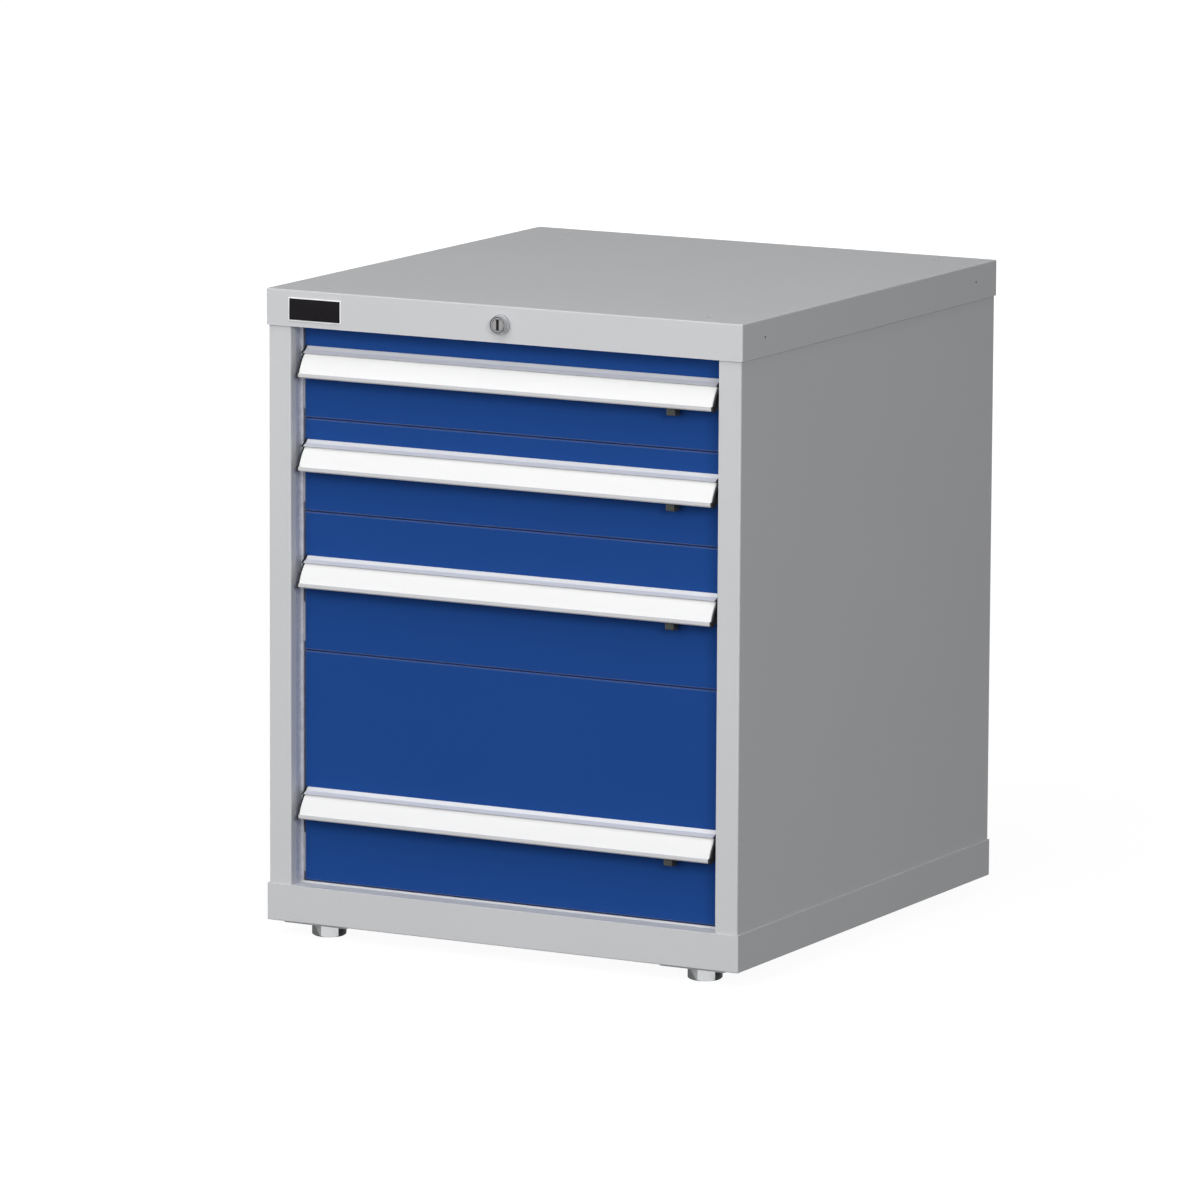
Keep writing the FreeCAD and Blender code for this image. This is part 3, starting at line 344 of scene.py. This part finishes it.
def turned(outline, steps=48):
    """A part turned about Z from rings of (radius, height) in millimetres. It has a face at
    each end, or a bore where the outline comes back to its first ring."""
    bored = outline[0] == outline[-1]
    radius, height = outline[0]
    bpy.ops.object.select_all(action="DESELECT")
    bpy.ops.mesh.primitive_circle_add(vertices=steps, radius=radius * MM,
                                      fill_type="NOTHING" if bored else "NGON",
                                      location=(0, 0, height * MM))
    bpy.ops.object.mode_set(mode="EDIT")
    for next_radius, next_height in outline[1:]:
        bpy.ops.mesh.extrude_region_move(
            TRANSFORM_OT_translate={"value": (0, 0, (next_height - height) * MM)})
        scale = next_radius / radius
        bpy.ops.transform.resize(value=(scale, scale, 1),
                                 center_override=(0, 0, next_height * MM))
        radius, height = next_radius, next_height
    bpy.ops.mesh.select_all(action="SELECT")
    bpy.ops.mesh.remove_doubles(threshold=SAME_POINT)
    bpy.ops.mesh.normals_make_consistent(inside=False)
    bpy.ops.object.mode_set(mode="OBJECT")
    piece = bpy.context.object
    place(piece)
    return piece


def block(size, middle=(0, 0, 0)):
    """A block with straight sides, in millimetres. It is also used as a cutter."""
    bpy.ops.object.select_all(action="DESELECT")
    bpy.ops.mesh.primitive_cube_add(size=1, location=Vector(middle) * MM)
    piece = bpy.context.object
    piece.scale = Vector(size) * MM
    place(piece)
    return piece


def shaped(piece, kind, **settings):
    """A piece with a modifier applied."""
    lone(piece)
    modifier = piece.modifiers.new("shaping", kind)
    for key, value in settings.items():
        setattr(modifier, key, value)
    bpy.ops.object.modifier_apply(modifier=modifier.name)
    return piece


def cut(piece, cutter, keep="DIFFERENCE"):
    """A piece less the cutter, or with INTERSECT only what they share."""
    shaped(piece, "BOOLEAN", operation=keep, solver="EXACT", object=cutter)
    bpy.data.objects.remove(cutter)
    return piece


def copied(piece):
    """A copy with its own mesh."""
    twin = piece.copy()
    twin.data = piece.data.copy()
    bpy.context.scene.collection.objects.link(twin)
    return twin


def joined(pieces):
    """Several pieces as one."""
    lone(pieces[0])
    for piece in pieces:
        piece.select_set(True)
    bpy.ops.object.join()
    return pieces[0]


def repeated(piece, places):
    """Copies of a piece, each at its (spot, turn), joined as one."""
    twins = []
    for spot, turn in places:
        twin = copied(piece)
        place(twin, spot, turn)
        twins.append(twin)
    return joined(twins)


def finish(piece, name, material, body, slot, *nodes):
    """Names and dresses a finished piece, and sets it on the body that carries it."""
    piece.name = name
    piece.data.name = name
    piece.data.materials.clear()
    piece.data.materials.append(material)
    lone(piece)
    bpy.ops.object.shade_smooth_by_angle(angle=math.radians(SMOOTH_BELOW))
    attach(piece, body)
    if nodes:
        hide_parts(*nodes)


# Levelling feet: a hexagon head with a turned chamfer, on a threaded stud

FOOT_FLATS = 32
FOOT_TURN = 2
FOOT_HEAD = 15.5
STUD_TOP = 52.5
THREAD_RADIUS = 5.5
THREAD_START = FOOT_HEAD + 0.8
THREAD_DEPTH = 0.96
THREAD_WIDTH = 1.4
THREAD_CREST = 0.25
THREAD_PITCH = 1.75
THREAD_TURNS = 19
THREAD_STEPS = 20

bpy.ops.mesh.primitive_cylinder_add(vertices=6, radius=FOOT_FLATS / math.sqrt(3) * MM,
                                    depth=FOOT_HEAD * MM, location=(0, 0, FOOT_HEAD / 2 * MM),
                                    rotation=(0, 0, math.radians(FOOT_TURN)))
head = bpy.context.object
place(head)
cut(head, turned([(13.9, 0), (14.3, 0.03), (14.7, 0.12), (16.7, 0.65), (17.9, 1.4), (18.6, 2.4),
                  (18.6, FOOT_HEAD - 0.5), (17.8, FOOT_HEAD)]), "INTERSECT")
shaped(head, "BEVEL", width=0.25 * MM, segments=2, limit_method="ANGLE",
       angle_limit=math.radians(40))
stud = turned([(5.2, FOOT_HEAD - 0.5), (5.2, STUD_TOP - 2.2), (6, STUD_TOP - 1.9),
               (6, STUD_TOP - 0.8), (5.1, STUD_TOP)], 24)

# the thread's section, narrower at its crest, is wound up the stud and closed at both ends
bpy.ops.object.select_all(action="DESELECT")
bpy.ops.mesh.primitive_plane_add(size=1, location=(THREAD_RADIUS * MM, 0, THREAD_START * MM),
                                 rotation=(math.radians(90), 0, 0))
thread = bpy.context.object
thread.scale = (THREAD_DEPTH * MM, THREAD_WIDTH * MM, 1)
place(thread)
for point in thread.data.vertices:
    point.select = point.co.x > THREAD_RADIUS * MM
for edge in thread.data.edges:
    edge.select = all(thread.data.vertices[i].select for i in edge.vertices)
for face in thread.data.polygons:
    face.select = False
bpy.ops.object.mode_set(mode="EDIT")
bpy.ops.transform.resize(value=(1, 1, THREAD_CREST), center_override=(0, 0, THREAD_START * MM))
bpy.ops.mesh.select_all(action="SELECT")
bpy.ops.mesh.delete(type="ONLY_FACE")
bpy.ops.object.mode_set(mode="OBJECT")
shaped(thread, "SCREW", axis="Z", screw_offset=THREAD_PITCH * MM, iterations=THREAD_TURNS,
       steps=THREAD_STEPS, render_steps=THREAD_STEPS, use_merge_vertices=False)
bpy.ops.object.mode_set(mode="EDIT")
bpy.ops.mesh.select_all(action="SELECT")
bpy.ops.mesh.fill_holes(sides=4)
bpy.ops.mesh.normals_make_consistent(inside=False)
bpy.ops.object.mode_set(mode="OBJECT")

foot = joined([head, stud, thread])
for corner in ("front_left", "front_right", "rear_left", "rear_right"):
    low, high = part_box("foot_" + corner)
    twin = copied(foot)
    place(twin, ((low.x + high.x) / 2 / MM, (low.y + high.y) / 2 / MM, 0))
    finish(twin, "levelling_foot_" + corner, zinc, "foot_" + corner, "zinc_steel",
           "foot_" + corner)
bpy.data.objects.remove(foot)


# Lock: a housing with a collar and a grooved rim, and a plug with a key slot

# the lock's middle on the cover's front face. Its parts are turned about Z with Z = 0 on that
# face, and then laid forward
LOCK = (0, -295.75, 679.3)
FORWARD = (90, 0, 0)
SLOT_WIDTH = 3.5
SLOT_HEIGHT = 11.4
SHUTTER_AND_SHADE_PLAY = 0.1

housing = turned([(6.8, -24), (9.2, -24), (9.5, -23.7), (9.5, 0), (10.6, 0), (10.6, 2.4),
                  (10.35, 3.1), (9.8, 3.5), (9.2, 3.5), (8.9, 3.8), (8.9, 8.2), (8.85, 8.5),
                  (8.75, 8.5), (8.7, 6.5), (7.75, 6.5), (7.7, 8.4), (7.6, 8.5), (6.9, 8.5),
                  (6.8, 8.4), (6.8, -24)], 64)
place(housing, LOCK, FORWARD)
finish(housing, "lock_case", chrome, "cabinet", "lock_chrome", "lock_housing")
# painted shade: a black ring fills the groove round the plug's face and stands in for the shade in it
groove_shade_ring = turned([(7.75, 6.5), (8.7, 6.5), (8.7, 7.9), (8.5, 8.2), (8.0, 8.2), (7.75, 7.9),
               (7.75, 6.5)], 64)
place(groove_shade_ring, LOCK, FORWARD)
finish(groove_shade_ring, "lock_groove_shade_ring", cap_black, "cabinet", "end_cap_plastic")
plug = turned([(6.5, -26), (6.7, -25.8), (6.7, 5.5), (6.25, 5.5), (6.25, 8.0), (6.1, 8.2),
               (5.6, 8.2), (5.4, 8.0), (2.0, 8.0)], 64)
cut(plug, block((SLOT_WIDTH, SLOT_HEIGHT, 12), (0, 0, 8.2)))
place(plug, LOCK, FORWARD)
# a black block deep in the key slot: a dust shutter, and also a painted shade that keeps the slot
# dark
slot_shutter_and_shade = block((SLOT_WIDTH - SHUTTER_AND_SHADE_PLAY, SLOT_HEIGHT - SHUTTER_AND_SHADE_PLAY, 3), (0, 0, 4.0))
shaped(slot_shutter_and_shade, "BEVEL", width=0.2 * MM, segments=2)
place(slot_shutter_and_shade, LOCK, FORWARD)
finish(slot_shutter_and_shade, "key_slot_shutter_and_shade", cap_black, "lock_rotor", "end_cap_plastic")
finish(plug, "key_plug", nickel, "lock_rotor", "plug_brass", "lock_plug")


# Nameplate, left bare: a thin plate with rounded corners, and a white border round its field

PLATE_SPREAD = 1.1
PLATE_BORDER = 1.2

low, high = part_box("nameplate")
spread = Vector((PLATE_SPREAD, 0, PLATE_SPREAD)) * MM
low, high = low - spread, high + spread
plate = block((high - low) / MM, (low + high) / 2 / MM)
shaped(plate, "BEVEL", width=0.3 * MM, segments=3)
finish(plate, "bare_nameplate",
       printed_plate("printed_plastic_plate", "#f4f4f4", "#151316", "#1d1b1e", low, high,
                     PLATE_BORDER * MM),
       "cabinet", "nameplate_plastic", "nameplate")


# Back panel screws: pan heads with a cross recess, each tightened to another angle

SCREW_HEAD = 1.6
SCREW_SIDE = 271.5
SCREW_LOWEST = 62.5
SCREW_PITCH = 147.75
SCREW_ROWS = 5

screw = turned([(1.9, -1.2), (2, -1.1), (2, 0), (3.5, 0), (3.5, 0.65), (3.3, 1.1), (2.9, 1.42),
                (2.3, SCREW_HEAD), (1.0, SCREW_HEAD)], 32)
for arm in ((4.2, 0.9, 1.8), (0.9, 4.2, 1.8)):
    cut(screw, block(arm, (0, 0, SCREW_HEAD)))
low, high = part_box("back_screws")
screws = repeated(screw, [((side * SCREW_SIDE, high.y / MM - SCREW_HEAD,
                            SCREW_LOWEST + SCREW_PITCH * row),
                           (-90, (37 * row + 20) % 90 + 20 * side, 0))
                          for side in (-1, 1) for row in range(SCREW_ROWS)])
bpy.data.objects.remove(screw)
finish(screws, "back_panel_screws", zinc, "cabinet", "zinc_steel", "back_screws")


# Worktop fixings: threaded inserts pressed in the cover's four holes

INSERT_SIDE = 227
INSERT_FRONT = -260.75
INSERT_REAR = 269.25

insert = turned([(2.6, -9), (4.2, -9), (4.2, -3.3), (6, -3), (6, -2), (3.5, -2), (3.5, -0.35),
                 (3.3, -0.15), (2.9, -0.15), (2.6, -0.45), (2.6, -9)], 32)
inserts = repeated(insert, [((x, y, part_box("top_cover")[1].z / MM), (0, 0, 0))
                            for x in (-INSERT_SIDE, INSERT_SIDE)
                            for y in (INSERT_FRONT, INSERT_REAR)])
bpy.data.objects.remove(insert)
finish(inserts, "worktop_inserts", zinc, "cabinet", "zinc_steel")


# Black plugs in the holes of the cover's side flanges

PLUG_FROM_ENDS = 51
PLUG_BELOW_TOP = 19

low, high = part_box("top_cover")
side_plug = turned([(1.3, -1.9), (1.45, -1.8), (1.45, -0.3), (1.1, -0.12), (0.5, -0.08)], 24)
side_plugs = repeated(side_plug, [((x / MM, y, high.z / MM - PLUG_BELOW_TOP), (0, turn, 0))
                                  for x, turn in ((low.x, -90), (high.x, 90))
                                  for y in (low.y / MM + PLUG_FROM_ENDS,
                                            high.y / MM - PLUG_FROM_ENDS)])
bpy.data.objects.remove(side_plug)
finish(side_plugs, "cover_side_plugs", cap_black, "cabinet", "end_cap_plastic")


# Thumb ribs on the safety catches

RIB_MIDDLE = 4.8
RIB_PITCH = 2.7
RIB_LIFT = 0.7

rib = turned([(0.3, 0), (0.55, 0.3), (0.55, 6.6), (0.3, 6.9)], 16)
for number in DRAWERS:
    low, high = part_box("drawer_%d_catch" % number)
    ribs = repeated(rib, [((low.x / MM + RIB_MIDDLE + RIB_PITCH * step, low.y / MM,
                            low.z / MM + RIB_LIFT), (0, 0, 0)) for step in (-1, 0, 1)])
    finish(ribs, "drawer_%d_catch_ribs" % number, catch_grey,
           "drawer_%d_catch" % number, "catch_plastic")
bpy.data.objects.remove(rib)


# Camera: fitted to the photograph's outline

CAMERA_TURN = math.radians(28.25)
CAMERA_RISE = math.radians(9.607)
CAMERA_TILT = math.radians(0.284)
CAMERA_REACH = 9.21
CAMERA_AIM = Vector((0.1187, -0.29575, 0.3978))
CAMERA_LENS = 265.35
CAMERA_SENSOR = 36
CAMERA_SIGHT = 100

back = Vector((math.sin(CAMERA_TURN) * math.cos(CAMERA_RISE),
               -math.cos(CAMERA_TURN) * math.cos(CAMERA_RISE), math.sin(CAMERA_RISE)))
right = Vector((math.cos(CAMERA_TURN), math.sin(CAMERA_TURN), 0))
up = back.cross(right)
tilted_right = right * math.cos(CAMERA_TILT) + up * math.sin(CAMERA_TILT)
tilted_up = up * math.cos(CAMERA_TILT) - right * math.sin(CAMERA_TILT)
camera_data = bpy.data.cameras.new("photo_camera")
camera_data.lens = CAMERA_LENS
camera_data.sensor_width = CAMERA_SENSOR
camera_data.clip_end = CAMERA_SIGHT
camera = bpy.data.objects.new("photo_camera", camera_data)
bpy.context.scene.collection.objects.link(camera)
camera.matrix_world = Matrix.Translation(CAMERA_AIM + back * CAMERA_REACH) @ Matrix(
    (tilted_right, tilted_up, back)).transposed().to_4x4()
bpy.context.scene.camera = camera


# Lamps

LAMP_TARGET = Vector((0, -0.1, 0.35))


def aim_lamp(name, towards, distance, size, power):
    """A square soft lamp that looks at the cabinet and isn't seen in its reflections."""
    data = bpy.data.lights.new(name, "AREA")
    data.shape = "SQUARE"
    data.size = size
    data.energy = power
    lamp = bpy.data.objects.new(name, data)
    bpy.context.scene.collection.objects.link(lamp)
    direction = Vector(towards).normalized()
    lamp.location = LAMP_TARGET + direction * distance
    lamp.rotation_mode = "QUATERNION"
    lamp.rotation_quaternion = direction.to_track_quat("Z", "Y")
    lamp.visible_glossy = False


aim_lamp("key_lamp", towards=(-0.25, -0.90, 0.36), distance=4.5, size=3.2, power=86)
aim_lamp("fill_lamp", towards=(0.65, -0.68, 0.35), distance=7.0, size=2.0, power=152)
aim_lamp("overhead_lamp", towards=(0, -0.5, 1), distance=5.0, size=3.0, power=82)
aim_lamp("rear_lamp", towards=(-0.40, 0.91, 0.10), distance=6.0, size=3.0, power=70)


# Floor: to the camera it glows white and keeps a soft shadow, and from below it is clear

FLOOR_SIZE = 60
FLOOR_NEAR = 1.2
FLOOR_FAR = 4
GLOW_NEAR = 1.10
GLOW_FAR = 1.18
GLOW_SHARE = 0.85

bpy.ops.mesh.primitive_plane_add(size=FLOOR_SIZE, location=(0, 0, 0))
floor = bpy.context.object
floor.name = "studio_floor"
floor.visible_diffuse = False
floor.visible_shadow = False
floor.visible_glossy = False
floor_pale = new_material("pale_studio_floor")
tree = floor_pale.node_tree
rays = node(tree, "ShaderNodeLightPath")
coordinates = node(tree, "ShaderNodeTexCoord")
reach = node(tree, "ShaderNodeVectorMath", [(0, coordinates.outputs["Object"])],
             operation="LENGTH")
strength = node(tree, "ShaderNodeMapRange", [("Value", reach.outputs["Value"])],
                {"From Min": FLOOR_NEAR, "From Max": FLOOR_FAR, "To Min": GLOW_NEAR,
                 "To Max": GLOW_FAR})
glow = node(tree, "ShaderNodeEmission", [("Strength", strength.outputs[0])],
            {"Color": (1, 1, 1, 1)})
plain = node(tree, "ShaderNodeBsdfDiffuse", (), {"Color": linear("#e6e6e6")})
seen = node(tree, "ShaderNodeMath", [(0, rays.outputs["Is Camera Ray"])], {1: GLOW_SHARE},
            operation="MULTIPLY")
pale = node(tree, "ShaderNodeMixShader", [("Fac", seen.outputs[0]), (1, plain.outputs[0]),
                                          (2, glow.outputs[0])])
sides = node(tree, "ShaderNodeNewGeometry")
clear = node(tree, "ShaderNodeBsdfTransparent")
one_sided = node(tree, "ShaderNodeMixShader", [("Fac", sides.outputs["Backfacing"]),
                                               (1, pale.outputs[0]), (2, clear.outputs[0])])
surface(tree, one_sided)
floor.data.materials.append(floor_pale)


# World: white to the camera, a plain low light on the cabinet, and a studio for its reflections

AMBIENT = 0.22
FAR_END = 0.15
SCREEN_SIDE = (0.743, 0.669, 0)
SCREEN_DARK = 0.1
CEILING = 0.75

world = bpy.data.worlds.new("studio")
world.use_nodes = True
bpy.context.scene.world = world
tree = world.node_tree
tree.nodes.clear()
rays = node(tree, "ShaderNodeLightPath")
coordinates = node(tree, "ShaderNodeTexCoord")
axes = node(tree, "ShaderNodeSeparateXYZ", [(0, coordinates.outputs["Generated"])])
# polished metal shows the bright front and ceiling of the studio, its dimmer far end and a
# dark screen at the right
depth = node(tree, "ShaderNodeMapRange", [("Value", axes.outputs["Y"])],
             {"From Min": -0.7, "From Max": -0.1, "To Min": 1, "To Max": FAR_END})
screen = node(tree, "ShaderNodeVectorMath", [(0, coordinates.outputs["Generated"])],
              {1: SCREEN_SIDE}, operation="DOT_PRODUCT")
shade = node(tree, "ShaderNodeMapRange", [("Value", screen.outputs["Value"])],
             {"From Min": 0.65, "From Max": 0.9, "To Min": 1, "To Max": SCREEN_DARK})
screened = node(tree, "ShaderNodeMath", [(0, depth.outputs[0]), (1, shade.outputs[0])],
                operation="MULTIPLY")
ceiling = node(tree, "ShaderNodeMapRange", [("Value", axes.outputs["Z"])],
               {"From Min": 0.45, "From Max": 0.9, "To Min": 0, "To Max": CEILING})
mirrored = node(tree, "ShaderNodeMath", [(0, screened.outputs[0]), (1, ceiling.outputs[0])],
                operation="ADD")
ambient = node(tree, "ShaderNodeBackground", (), {"Color": (1, 1, 1, 1), "Strength": AMBIENT})
white = node(tree, "ShaderNodeBackground", (), {"Color": (1, 1, 1, 1), "Strength": 1})
studio_room = node(tree, "ShaderNodeBackground", [("Strength", mirrored.outputs[0])],
                   {"Color": (1, 1, 1, 1)})
with_gloss = node(tree, "ShaderNodeMixShader", [
    ("Fac", rays.outputs["Is Glossy Ray"]), (1, ambient.outputs[0]), (2, studio_room.outputs[0])])
with_camera = node(tree, "ShaderNodeMixShader", [
    ("Fac", rays.outputs["Is Camera Ray"]), (1, with_gloss.outputs[0]), (2, white.outputs[0])])
node(tree, "ShaderNodeOutputWorld", [("Surface", with_camera.outputs[0])])

bpy.context.scene.view_settings.view_transform = "Standard"
